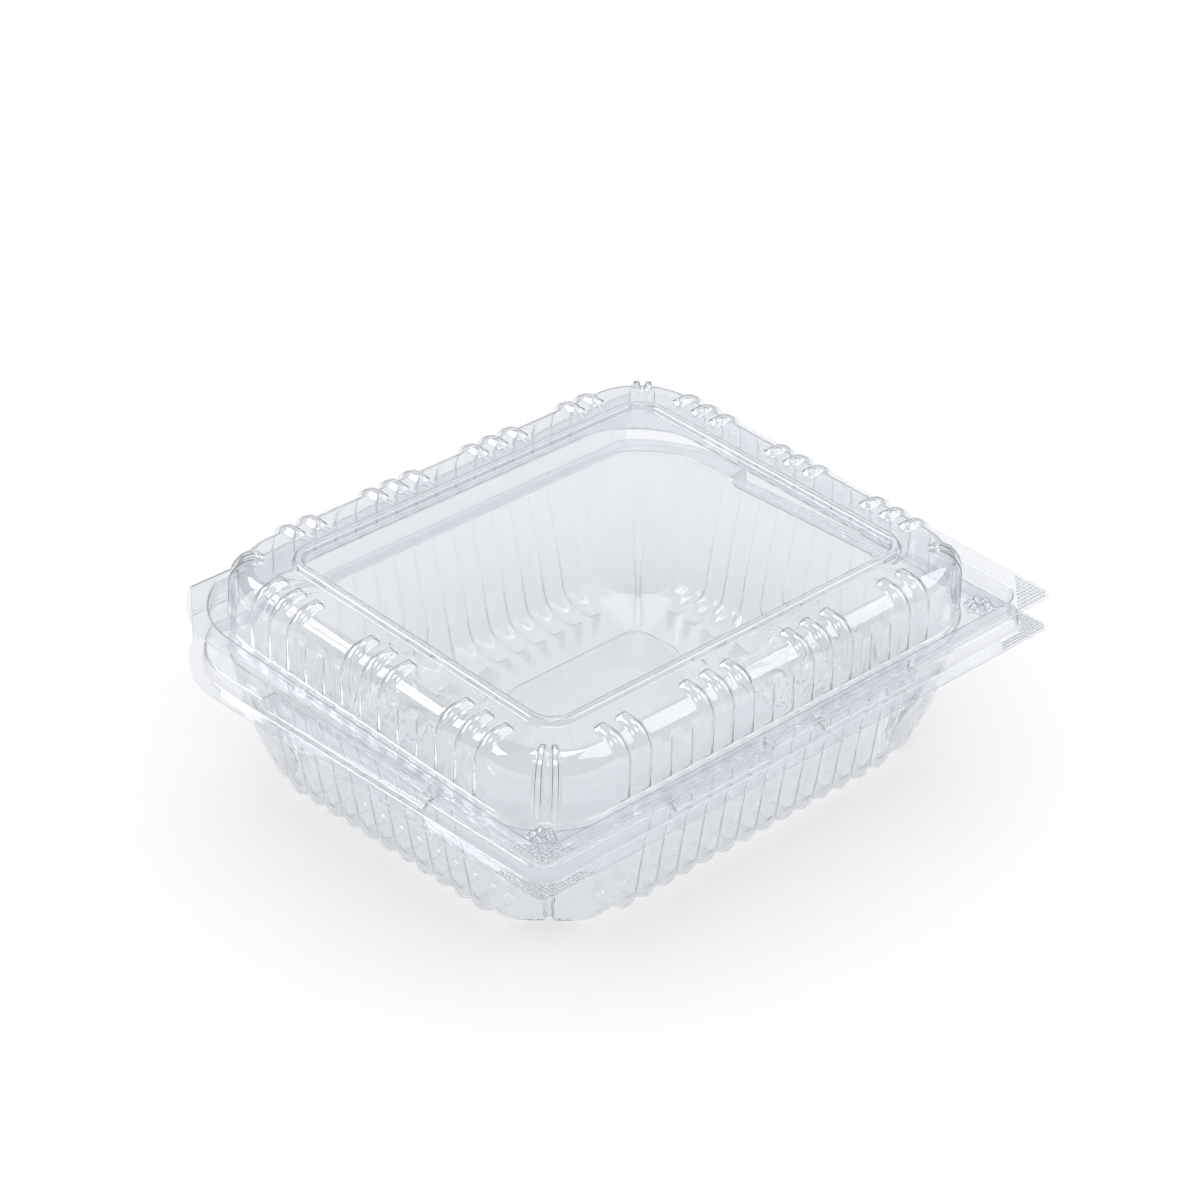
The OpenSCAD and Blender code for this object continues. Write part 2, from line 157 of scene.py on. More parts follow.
@dataclass(frozen=True)
class ClearPet:
    """Clear PET sheet, vacuum formed: glossy, faintly milky, a little wavy where it was drawn."""

    name: str = "clear_pet_thermoformed"
    colour: str = "#F2F4F7"
    ior: float = 1.575
    clearness: float = 0.95
    roughness: tuple[float, float] = (0.0, 0.035)
    wave_mm: float = 16.0
    wave_height_mm: float = 0.10
    wave_strength: float = 0.22
    wave_detail: float = 1.0
    cloud_mm: float = 7.0
    cloud_detail: float = 2.0
    cloud_range: tuple[float, float] = (0.3, 0.7)
    level_range: tuple[float, float] = (0.3, 0.95)
    shadow_shares: tuple[float, float] = (0.24, 0.02)

    def material(self) -> bpy.types.Material:
        """Make the material.

        Returns:
            A material that reads Object coordinates.
        """
        made = new_material(self.name)
        tree = made.node_tree
        place = add_node(tree, "ShaderNodeTexCoord").outputs["Object"]
        # Draw marks: the sheet thins unevenly, so reflections waver over a centimetre or two
        wave = add_node(tree, "ShaderNodeTexNoise",
                        {"Scale": 1 / (self.wave_mm * MM), "Detail": self.wave_detail}, {"Vector": place})
        bump = add_node(tree, "ShaderNodeBump",
                        {"Strength": self.wave_strength, "Distance": self.wave_height_mm * MM},
                        {"Height": wave.outputs["Fac"]})
        # Clouds: gloss changes a little where the sheet touched the mould
        cloud = add_node(tree, "ShaderNodeTexNoise",
                         {"Scale": 1 / (self.cloud_mm * MM), "Detail": self.cloud_detail}, {"Vector": place})
        gloss = add_node(tree, "ShaderNodeMapRange",
                         {"From Min": self.cloud_range[0], "From Max": self.cloud_range[1],
                          "To Min": self.roughness[0], "To Max": self.roughness[1]},
                         {"Value": cloud.outputs["Fac"]})
        # Flat panels let the light through, fluted walls scatter it, so only the walls throw a shadow
        facing = add_node(tree, "ShaderNodeSeparateXYZ",
                          links={"Vector": add_node(tree, "ShaderNodeNewGeometry").outputs["Normal"]})
        level = add_node(tree, "ShaderNodeMath", {"operation": "ABSOLUTE"}, {0: facing.outputs["Z"]})
        shade = add_node(tree, "ShaderNodeMapRange",
                         {"From Min": self.level_range[0], "From Max": self.level_range[1],
                          "To Min": self.shadow_shares[0], "To Max": self.shadow_shares[1]},
                         {"Value": level.outputs["Value"]})
        path = add_node(tree, "ShaderNodeLightPath").outputs
        lit = add_node(tree, "ShaderNodeMath", {"operation": "MAXIMUM"},
                       {0: path["Is Shadow Ray"], 1: path["Is Diffuse Ray"]})
        cover = add_node(tree, "ShaderNodeMapRange", {"To Min": 1.0},
                         {"Value": lit.outputs["Value"], "To Max": shade.outputs["Result"]})
        shader = add_node(tree, "ShaderNodeBsdfPrincipled",
                          {"Base Color": linear(self.colour), "IOR": self.ior,
                           "Transmission Weight": self.clearness},
                          {"Roughness": gloss.outputs["Result"], "Normal": bump.outputs["Normal"],
                           "Alpha": cover.outputs["Result"]})
        add_node(tree, "ShaderNodeOutputMaterial", links={"Surface": shader.outputs["BSDF"]})
        return made


@dataclass(frozen=True)
class CutEdge:
    """Die-cut edge of the PET sheet: the shear leaves it frosted, so it shows white."""

    name: str = "clear_pet_die_cut_edge"
    colour: str = "#F3F6FA"
    clearness: float = 0.45
    roughness: float = 0.5

    def material(self) -> bpy.types.Material:
        """Make the material.

        Returns:
            A plain frosted material.
        """
        made = new_material(self.name)
        shader = add_node(made.node_tree, "ShaderNodeBsdfPrincipled",
                          {"Base Color": linear(self.colour), "Roughness": self.roughness,
                           "Transmission Weight": self.clearness})
        add_node(made.node_tree, "ShaderNodeOutputMaterial", links={"Surface": shader.outputs["BSDF"]})
        return made


@dataclass(frozen=True)
class Paper:
    """Pale matt studio paper: even and without gloss, so only the shadow shows on it."""

    name: str = "pale_floor"
    colour: str = "#F6F6F7"
    roughness: float = 0.9

    def material(self) -> bpy.types.Material:
        """Make the material.

        Returns:
            A plain matt material.
        """
        made = new_material(self.name)
        shader = add_node(made.node_tree, "ShaderNodeBsdfPrincipled",
                          {"Base Color": linear(self.colour), "Roughness": self.roughness,
                           "Specular IOR Level": 0.0})
        add_node(made.node_tree, "ShaderNodeOutputMaterial", links={"Surface": shader.outputs["BSDF"]})
        return made


@dataclass(frozen=True)
class Rim:
    """Plan sizes in millimetres that the tray and the lid share."""

    core_x: float = 63.5
    core_y: float = 49.0
    flange_off: float = 35.5
    hinge_off: float = 28.0
    step_back_off: float = 26.0
    tab_r: float = 3.0
    step_r: float = 7.0
    crease_gap: float = 0.8
    strap_h: float = 9.3
    strap_shares: tuple[float, ...] = (0.08, 0.42, 0.5)
    sheet: float = 0.4
    flute_pitch: float = 7.7
    flute_room: float = 5.4
    steps_per_flute: int = 10
    corner_steps: int = 72
    front_lug: tuple[float, float] = (28.5, 36.0)
    side_lug_l: float = 67.0
    lug_ramp: float = 1.4

    @property
    def crease(self) -> Vector:
        """Crease line of the hinge, from the frame, in millimetres."""
        return Vector(frame["record"]["behaviour"]["joints"][0]["pos_m"]) / MM

    @property
    def crease_y(self) -> float:
        """Crease line behind the middle of the corner centres."""
        return self.core_y + self.hinge_off + self.crease_gap / 2

    @property
    def shift(self) -> float:
        """Shift along Y from the corner centres' middle to the frame."""
        return self.crease.y - self.crease_y

    def half(self, side: Side) -> float:
        """Half length of a side between its corner centres."""
        return self.core_x if side in (Side.FRONT, Side.BACK) else self.core_y

    def flute_count(self, half: float) -> int:
        """Number of flutes on a side of this half length."""
        return math.floor((2 * half + self.flute_pitch - self.flute_room) / self.flute_pitch)


@dataclass(frozen=True)
class Station:
    """One place round the outline: a point on the corner-centre rectangle and the way out from it."""

    share_x: float
    share_y: float
    out_x: float
    out_y: float
    side: Side
    along: float
    turn: float | None


@dataclass(frozen=True)
class Knee:
    """Corner of a sheet's profile, in millimetres, with its bend radius and how the outline runs there."""

    off: float
    z: float
    bend: float = 0.0
    steps: int = 3
    front_r: float | None = None
    back_off: float | None = None
    drop: float = 0.0


@dataclass(frozen=True)
class Level:
    """One loop of a formed sheet: its outline, height, normal and how much of each relief it carries."""

    off: float
    z: float
    front_r: float
    back_off: float
    drop: float
    normal: tuple[float, float] = (0.0, 1.0)
    wall: float = 0.0
    crest: float = 0.0
    rib: float = 0.0


def stations(rim: Rim) -> list[Station]:
    """Places round the outline, closer than a flute, counter-clockwise from the front left.

    Args:
        rim: shared plan sizes.

    Returns:
        Stations along each side and round each corner after it.
    """
    made: list[Station] = []
    step = rim.flute_pitch / rim.steps_per_flute
    for side in Side:
        half = rim.half(side)
        angle = math.radians(90 * side.value - 90)
        out = Vector((math.cos(angle), math.sin(angle)))
        way = Vector((-out.y, out.x))
        count = math.floor((half - step / 2) / step)
        for place in [-half, *(k * step for k in range(-count, count + 1)), half]:
            share = way * (place / half) + out
            made.append(Station(share.x, share.y, out.x, out.y, side, place, None))
        corner = way + out
        for k in range(1, rim.corner_steps):
            turn = 90 * k / rim.corner_steps
            a = angle + math.radians(turn)
            made.append(Station(corner.x, corner.y, math.cos(a), math.sin(a), side, half, turn))
    return made


def profile(knees: Sequence[Knee]) -> list[Level]:
    """Round the corners of a profile.

    Args:
        knees: corners of the profile, from the outer edge inwards.

    Returns:
        Levels along the rounded profile, with their normals.
    """
    made: list[Level] = []

    def put(knee: Knee, at: Vector) -> None:
        """Add a level near a knee, with its outline kept at an even distance from the knee's own."""
        shift = at.x - knee.off
        front_r = knee.off if knee.front_r is None else knee.front_r
        back_off = knee.off if knee.back_off is None else knee.back_off
        made.append(Level(at.x, at.y, front_r + shift, back_off + shift, knee.drop))

    for i, knee in enumerate(knees):
        here = Vector((knee.off, knee.z))
        if i in (0, len(knees) - 1) or knee.bend == 0:
            put(knee, here)
            continue
        to_last = (Vector((knees[i - 1].off, knees[i - 1].z)) - here).normalized()
        to_next = (Vector((knees[i + 1].off, knees[i + 1].z)) - here).normalized()
        half = math.acos(max(-1.0, min(1.0, to_last.dot(to_next)))) / 2
        if half > STRAIGHT:
            put(knee, here)
            continue
        run = knee.bend / math.tan(half)
        middle = here + (to_last + to_next).normalized() * (knee.bend / math.sin(half))
        start = here + to_last * run - middle
        turn = math.pi - 2 * half
        sign = 1 if start.cross(here + to_next * run - middle) > 0 else -1
        for k in range(knee.steps + 1):
            put(knee, middle + Matrix.Rotation(sign * turn * k / knee.steps, 2) @ start)
    last = len(made) - 1
    for i, level in enumerate(made):
        before, after = made[max(0, i - 1)], made[min(last, i + 1)]
        way = Vector((after.off - before.off, after.z - before.z))
        way = way.normalized() if way.length else Vector((-1, 0))
        made[i] = replace(level, normal=(way.y, -way.x))
    return made


def grow(mesh: bmesh.types.BMesh, edges: Sequence[bmesh.types.BMEdge]
         ) -> tuple[list[bmesh.types.BMEdge], list[bmesh.types.BMVert]]:
    """Extrude edges, with the new ones left in the same place.

    Args:
        mesh: the mesh that holds the edges.
        edges: edges to extrude.

    Returns:
        The new edges and their vertices.
    """
    grown = bmesh.ops.extrude_edge_only(mesh, edges=edges)["geom"]
    return ([g for g in grown if isinstance(g, bmesh.types.BMEdge)],
            [g for g in grown if isinstance(g, bmesh.types.BMVert)])


def loft(loops: Sequence[Sequence[Vector]]) -> bmesh.types.BMesh:
    """Extrude a closed loop from level to level and fill the last one.

    Args:
        loops: points of each level, the same number in all.

    Returns:
        A mesh whose only open edge is the first loop.
    """
    mesh = bmesh.new()
    tag = mesh.verts.layers.int.new("station")
    ring = bmesh.ops.create_circle(mesh, segments=len(loops[0]), radius=1)["verts"]
    for i, vert in enumerate(ring):
        vert[tag] = i
        vert.co = loops[0][i]
    edges = list(mesh.edges)
    for loop in loops[1:]:
        edges, moved = grow(mesh, edges)
        for vert in moved:
            vert.co = loop[vert[tag]]
    bmesh.ops.edgeloop_fill(mesh, edges=edges)
    return mesh


def finished(mesh: bmesh.types.BMesh, name: str, sheet: float = 0.0) -> bpy.types.Object:
    """Turn a bmesh into a smooth object.

    Args:
        mesh: the mesh, in metres, which is freed.
        name: name of the piece.
        sheet: thickness in millimetres that a Solidify modifier gives, or 0 for a closed mesh.

    Returns:
        The new object, linked to the scene.
    """
    for face in mesh.faces:
        face.smooth = True
    for edge in mesh.edges:
        edge.smooth = not edge.is_boundary and edge.calc_face_angle(0.0) < SHARP
    data = bpy.data.meshes.new(name)
    mesh.to_mesh(data)
    mesh.free()
    made = bpy.data.objects.new(name, data)
    bpy.context.scene.collection.objects.link(made)
    if sheet:
        wall = made.modifiers.new("sheet", "SOLIDIFY")
        wall.thickness = sheet * MM
        wall.offset = 0.0
        wall.use_even_offset = False
        wall.material_offset_rim = 1
    return made


def wear(piece: bpy.types.Object, finishes: Sequence[bpy.types.Material]) -> None:
    """Give a piece its materials, first the sheet's and then its cut edge's."""
    for finish in finishes:
        piece.data.materials.append(finish)


@dataclass
class FormedShell:
    """Thin sheet drawn over a mould: loops round the pack, from the flange edge to the middle panel."""

    name: str
    body: Body
    node: str
    rim: Rim
    strap_way: float
    flute_inset: float = 0.0
    group_pitch: float = 5.0
    group_half: float = 1.5
    places: list[Station] = field(init=False)

    def __post_init__(self) -> None:
        """Lay out the stations."""
        self.places = stations(self.rim)

    def levels(self) -> list[Level]:
        """Loops of the sheet, from the flange edge inwards."""
        raise NotImplementedError

    def relief(self, station: Station, level: Level) -> float:
        """Height of flutes and ribs above the plain sheet, along its normal."""
        raise NotImplementedError

    def lug(self, station: Station) -> float:
        """Share of a snap lug's drop at a station."""
        raise NotImplementedError

    def placing(self) -> Matrix:
        """Matrix from the sheet's own millimetres to the frame's millimetres."""
        return Matrix.Translation((0, self.rim.shift, 0))

    def carried(self, number: float, count: int) -> bool:
        """Whether a flute is one of a group that carries on over the shoulder.

        Args:
            number: flute, counted from the middle of its side.
            count: flutes on that side; an odd count has a group in the middle, an even one a gap.

        Returns:
            True for the grouped flutes.
        """
        cycle = abs(number) % self.group_pitch
        gap = min(cycle, self.group_pitch - cycle) if count % 2 else abs(cycle - self.group_pitch / 2)
        return gap < self.group_half

    def flute(self, station: Station, foot: float, crown: float) -> tuple[float, bool]:
        """Section of the flute at a station.

        Args:
            station: place on the outline.
            foot: width of a flute at its foot.
            crown: width of its crown.

        Returns:
            Share of the flute's height, and whether it is one of a group.
        """
        if station.turn is not None:
            return 0.0, False
        count = self.rim.flute_count(self.rim.half(station.side) - self.flute_inset)
        lead = (count - 1) / 2
        number = round(station.along / self.rim.flute_pitch + lead) - lead
        if abs(number) > lead:
            return 0.0, False
        x = station.along - number * self.rim.flute_pitch
        return plateau(x, foot / 2, (foot - crown) / 2), self.carried(number, count)

    def lug_share(self, station: Station, room: float) -> float:
        """Share of a lug's depth at a station, 0 away from the lugs.

        Args:
            station: place on the outline.
            room: extra length at each end.

        Returns:
            A share from 0 to 1.
        """
        rim = self.rim
        if station.turn is not None or station.side is Side.BACK:
            return 0.0
        if station.side is Side.FRONT:
            middle, length = rim.front_lug
            return plateau(abs(station.along) - middle, length / 2 + room, rim.lug_ramp)
        return plateau(station.along, rim.side_lug_l / 2 + room, rim.lug_ramp)

    def reach(self, station: Station, level: Level, off: float) -> tuple[float, float]:
        """Plan position of a station on a level.

        Args:
            station: place on the outline.
            level: loop of the sheet.
            off: offset of the loop from the corner centres, relief included.

        Returns:
            X and Y in the sheet's own millimetres.
        """
        rim = self.rim
        front_r = level.front_r + off - level.off
        inset = max(0.0, front_r - off)
        off += inset
        back = level.back_off - level.off + off
        base_x = station.share_x * (rim.core_x - inset)
        base_y = station.share_y * (rim.core_y - inset)
        out = off
        if station.side is Side.BACK and station.turn is None:
            out = back
        elif station.turn is not None and station.share_y > 0:
            out = min(off, back / station.out_y) if station.out_y > 0 else off
        elif station.turn is not None:
            inner = off - front_r
            u, v = abs(station.out_x), abs(station.out_y)
            out = off / max(u, v)
            if out * min(u, v) > inner:
                along = (u + v) * inner
                out = along + math.sqrt(max(0.0, along * along - 2 * inner * inner + front_r * front_r))
        return base_x + station.out_x * out, base_y + station.out_y * out

    def point(self, station: Station, level: Level) -> Vector:
        """Position of a station on a level, in the sheet's own millimetres."""
        rise = self.relief(station, level)
        x, y = self.reach(station, level, level.off + rise * level.normal[0])
        return Vector((x, y, level.z + rise * level.normal[1] - level.drop * self.lug(station)))

    def build(self) -> bpy.types.Object:
        """Extrude the loops one from the next, close the middle and fold the hinge strap.

        Returns:
            The shell's object, at the origin, in metres.
        """
        mesh = loft([[self.point(place, level) for place in self.places] for level in self.levels()])
        self.fold_strap(mesh)
        bmesh.ops.recalc_face_normals(mesh, faces=mesh.faces)
        if max(mesh.faces, key=lambda f: f.calc_area()).normal.z < 0:
            bmesh.ops.reverse_faces(mesh, faces=mesh.faces)
        bmesh.ops.transform(mesh, matrix=Matrix.Scale(MM, 4) @ self.placing(), verts=mesh.verts)
        return finished(mesh, self.name, self.rim.sheet)

    def on_hinge(self, co: Vector) -> bool:
        """Whether a flange point lies on the hinge's fold line."""
        return co.y > self.rim.core_y + self.rim.hinge_off - self.rim.sheet / 10

    def fold_strap(self, mesh: bmesh.types.BMesh) -> None:
        """Fold the strap off the flange's hinge edge.

        Args:
            mesh: the shell.
        """
        rim = self.rim
        run = rim.strap_h - rim.crease_gap / 2 - rim.sheet / 2
        edges = [e for e in mesh.edges if e.is_boundary and all(self.on_hinge(v.co) for v in e.verts)]
        for share in rim.strap_shares:
            edges, moved = grow(mesh, edges)
            bmesh.ops.translate(mesh, vec=(0, 0, self.strap_way * run * share), verts=moved)

    def dress(self, piece: bpy.types.Object, finishes: Sequence[bpy.types.Material]) -> None:
        """Give the shell its finishes and set it on its body in place of the plain solid."""
        wear(piece, finishes)
        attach(piece, self.body.value)
        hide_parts(self.node)


@dataclass
class LidShell(FormedShell):
    """Domed lid, measured from the top of its flange."""

    flange_w: float = 6.0
    step_h: float = 6.0
    step_draft: float = 0.3
    step_bend: float = 0.7
    dome_off: float = 22.5
    dome_h: float = 19.2
    foot_bend: float = 1.0
    foot_draft: float = 0.06
    foot_h: float = 2.0
    foot_room: float = 0.3
    shoulder_r: float = 6.5
    shoulder_steps: int = 10
    draft: float = 0.5
    bead_off: float = 5.2
    bead_plan_r: float = 8.0
    bead_r: float = 1.7
    bead_h: float = 1.6
    bead_crown_share: float = 0.55
    bead_foot_bend: float = 0.5
    bead_crown_bend: float = 0.8
    panel_inset: float = 6.0
    flute_foot: float = 4.4
    flute_crown: float = 1.8
    flute_h: float = 1.4
    flute_run: float = 3.6
    run_shares: tuple[float, ...] = (0.4, 0.7, 0.85, 1.0)
    lug_w: float = 3.4
    lug_drop: float = 2.6
    lug_end: float = 0.5
    lug_front_cut: float = 8.0
    lug_back_cut: float = 3.0
    rib_pitch: float = 4.6
    rib_w: float = 3.2
    rib_ramp: float = 0.9
    rib_h: float = 1.3
    foot_rise: Ramp = Ramp(0.4, 1.6)
    wall_fade: Ramp = Ramp(-1.0, 3.2)
    crest_end: Ramp = Ramp(0.0, 1.1)
    rib_end: Ramp = Ramp(2.2, 1.2)
    lean: float = math.radians(2.8)

    def placing(self) -> Matrix:
        """Matrix from the lid's own millimetres to the frame's, leaned about the crease."""
        rim = self.rim
        lean = Matrix.Rotation(self.lean, 4, "X")
        return Matrix.Translation(rim.crease) @ lean @ Matrix.Translation((0, -rim.crease_y, rim.strap_h))

    def levels(self) -> list[Level]:
        """Loops from the flange edge over the step, ledge, wall, shoulder and bead to the top panel."""
        rim = self.rim
        skin = rim.sheet / 2
        step_off = rim.flange_off - self.flange_w
        ledge = -self.step_h + skin
        top = self.dome_h - self.step_h - skin
        inner = step_off - self.lug_w
        lug_front, lug_back = inner - self.lug_front_cut, inner - self.lug_back_cut
        crown = self.dome_off - self.draft
        shoulder = crown - self.shoulder_r
        foot, crest = self.bead_r, self.bead_r * self.bead_crown_share
        bead = [(foot, 0.0, self.bead_foot_bend, 3), (crest, self.bead_h, self.bead_crown_bend, 4),
                (-crest, self.bead_h, self.bead_crown_bend, 4), (-foot, 0.0, self.bead_foot_bend, 3)]
        knees = [
            Knee(rim.flange_off, -skin, front_r=rim.tab_r, back_off=rim.hinge_off),
            Knee(step_off, -skin, self.step_bend, front_r=rim.step_r, back_off=rim.step_back_off),
            Knee(step_off - self.step_draft, ledge, self.step_bend, front_r=rim.step_r,
                 back_off=rim.step_back_off, drop=self.lug_drop),
            Knee(inner + self.lug_end, ledge, front_r=lug_front, back_off=lug_back, drop=self.lug_drop),
            Knee(inner, ledge, front_r=lug_front, back_off=lug_back),
            Knee(self.dome_off, ledge, self.foot_bend),
            Knee(self.dome_off - self.foot_draft, ledge + self.foot_h),
            Knee(crown, top, self.shoulder_r, self.shoulder_steps),
            *(Knee(shoulder - self.flute_run * share, top) for share in self.run_shares),
            *(Knee(self.bead_off + out, top + rise, bend, steps, self.bead_plan_r + out)
              for out, rise, bend, steps in bead),
            Knee(self.bead_off - foot - self.panel_inset, top, front_r=self.bead_plan_r - foot),
        ]
        return [self.marked(level, ledge, top) for level in profile(knees)]

    def marked(self, level: Level, ledge: float, top: float) -> Level:
        """Say how much of each relief a loop carries.

        Args:
            level: loop of the sheet.
            ledge: height of the ledge.
            top: height of the flat shoulder.

        Returns:
            The loop with its shares of flutes and ribs.
        """
        if level.off > self.dome_off + self.foot_room:
            return level
        bend = top - self.shoulder_r
        end = self.dome_off - self.draft - self.shoulder_r - self.flute_run
        foot = self.foot_rise.at(level.z - ledge)
        return replace(level, wall=foot * (1 - self.wall_fade.at(level.z - bend)),
                       crest=foot * self.crest_end.at(level.off - end),
                       rib=foot * self.rib_end.at(level.off - end))

    def relief(self, station: Station, level: Level) -> float:
        """Height of flutes and twin corner ribs at a station of a loop."""
        if not (level.wall or level.crest or level.rib):
            return 0.0
        if station.turn is not None:
            arc = math.radians(station.turn - 45) * self.dome_off
            rib = plateau(abs(arc) - self.rib_pitch / 2, self.rib_w / 2, self.rib_ramp)
            return self.rib_h * level.rib * rib
        share, grouped = self.flute(station, self.flute_foot, self.flute_crown)
        return self.flute_h * share * (level.crest if grouped else level.wall)

    def lug(self, station: Station) -> float:
        """Share of a lug's depth at a station."""
        return self.lug_share(station, 0.0)


@dataclass
class TrayShell(FormedShell):
    """Fluted tray with faceted corners, measured from the table."""

    flute_inset: float = 7.0
    flange_z: float = 37.5
    flange_w: float = 4.5
    rise_draft: float = 0.25
    rise_bend: float = 0.6
    land_h: float = 4.6
    mouth_off: float = 24.3
    mouth_bend: float = 0.5
    mouth_room: float = 0.2
    wall_shares: tuple[float, ...] = (0.05, 0.1, 0.2, 0.3, 0.37, 0.43, 0.49, 0.55, 0.62, 0.69, 0.76)
    floor_off: float = 8.5
    floor_r: float = 8.0
    floor_steps: int = 12
    channel_w: float = 20.0
    panel_h: float = 2.6
    panel_r: float = 6.0
    panel_draft: float = 1.0
    panel_foot_bend: float = 0.8
    panel_bend: float = 1.0
    panel_inset: float = 3.0
    flute_foot: float = 5.8
    flute_crown: float = 2.2
    flute_h: float = 1.2
    wall_share: float = 0.7
    bulb_share: float = 0.9
    bulb_z: float = 4.5
    bulb_fade: float = 9.0
    rung_h: float = 0.5
    rung_l: float = 4.5
    rung_shares: tuple[float, ...] = (0.3, 0.6, 0.8, 0.9, 1.0)
    rung_room: float = 0.1
    notch_drop: float = 2.85
    notch_inner: float = 25.3
    notch_end: float = 0.5
    notch_front_cut: float = 8.0
    notch_room: float = 1.2
    facet_off: float = 6.0
    facet_lean: float = math.radians(33)
    groove_w: float = 4.6
    groove_ramp: float = 0.9
    groove_d: float = 1.9
    head_rise: Ramp = Ramp(0.6, 1.6)
    rung_end: Ramp = Ramp(0.0, 0.8)
    bulb_rise: Ramp = Ramp(0.15, 3.2)

    def levels(self) -> list[Level]:
        """Loops from the flange edge up the rim, over the land, down the wall and in across the floor."""
        rim = self.rim
        skin = rim.sheet / 2
        flange, panel = self.flange_z - skin, self.panel_h - skin
        rise_off = rim.flange_off - self.flange_w
        land = self.flange_z + self.land_h - skin
        floor = skin + self.rung_h
        panel_off = self.floor_off - self.channel_w
        mouth, corner = self.mouth_off, self.wall_foot(land)
        knees = [
            Knee(rim.flange_off, flange, front_r=rim.tab_r, back_off=rim.hinge_off),
            Knee(rise_off, flange, self.rise_bend, front_r=rim.step_r, back_off=rim.step_back_off),
            Knee(rise_off - self.rise_draft, land, self.rise_bend, front_r=rim.step_r,
                 back_off=rim.step_back_off, drop=self.notch_drop),
            Knee(self.notch_inner + self.notch_end, land, front_r=self.notch_inner - self.notch_front_cut,
                 back_off=self.notch_inner, drop=self.notch_drop),
            Knee(self.notch_inner, land),
            Knee(mouth, land, self.mouth_bend, 2),
            *(Knee(mouth + (corner - mouth) * t, land + (floor - land) * t) for t in self.wall_shares),
            Knee(corner, floor, self.floor_r, self.floor_steps),
            *(Knee(self.floor_off - self.rung_l * t, floor) for t in self.rung_shares),
            Knee(panel_off + self.panel_draft, floor, self.panel_foot_bend,
                 front_r=self.panel_r + self.panel_draft),
            Knee(panel_off, panel, self.panel_bend, front_r=self.panel_r),
            Knee(panel_off - self.panel_inset, panel, front_r=self.panel_r - self.panel_inset),
        ]
        return [self.marked(level, land, floor) for level in profile(knees)]

    def wall_foot(self, land: float) -> float:
        """Offset at which the leaned wall's line meets the floor, so that its bend ends at the floor edge."""
        run = self.mouth_off - self.floor_off
        rise = land - self.floor_r
        far = math.hypot(run, rise)
        lean = math.acos(self.floor_r / far) - math.atan2(rise, run)
        return self.mouth_off - land * math.tan(lean)

    def marked(self, level: Level, land: float, floor: float) -> Level:
        """Say how much of the flutes a loop carries.

        Args:
            level: loop of the sheet.
            land: height of the land.
            floor: height of the floor.

        Returns:
            The loop with its share of the flutes, and its normal turned outward.
        """
        end = self.floor_off - self.rung_l
        if level.off > self.mouth_off - self.mouth_room or level.off < end - self.rung_room:
            return level
        height = level.z - floor
        turned = (-level.normal[0], -level.normal[1])
        low = math.exp(-(max(0.0, height - self.bulb_z) / self.bulb_fade) ** 2)
        bulb = self.wall_share + self.bulb_share * low
        rung = self.rung_h / self.flute_h * self.rung_end.at(level.off - end)
        wall = self.head_rise.at(land - level.z) * (rung + (bulb - rung) * self.bulb_rise.at(height))
        return replace(level, normal=turned, wall=wall, rib=1.0)

    def relief(self, station: Station, level: Level) -> float:
        """Height of the flutes at a station of a loop."""
        if not level.wall:
            return 0.0
        share, _ = self.flute(station, self.flute_foot, self.flute_crown)
        return self.flute_h * share * level.wall

    def reach(self, station: Station, level: Level, off: float) -> tuple[float, float]:
        """Plan position of a station on a level, held back by the leaning corner facet and its groove."""
        x, y = super().reach(station, level, off)
        if not level.rib:
            return x, y
        past_x, past_y = abs(x) - self.rim.core_x, abs(y) - self.rim.core_y
        groove = plateau((past_x - past_y) / math.sqrt(2), self.groove_w / 2, self.groove_ramp)
        limit = self.facet_off + level.z * math.tan(self.facet_lean) - self.groove_d * groove
        over = max(0.0, (past_x + past_y) / math.sqrt(2) - limit)
        back = over * math.sqrt(2) / (abs(station.out_x) + abs(station.out_y))
        return x - station.out_x * back, y - station.out_y * back

    def lug(self, station: Station) -> float:
        """Share of a notch's depth at a station."""
        return self.lug_share(station, self.notch_room)


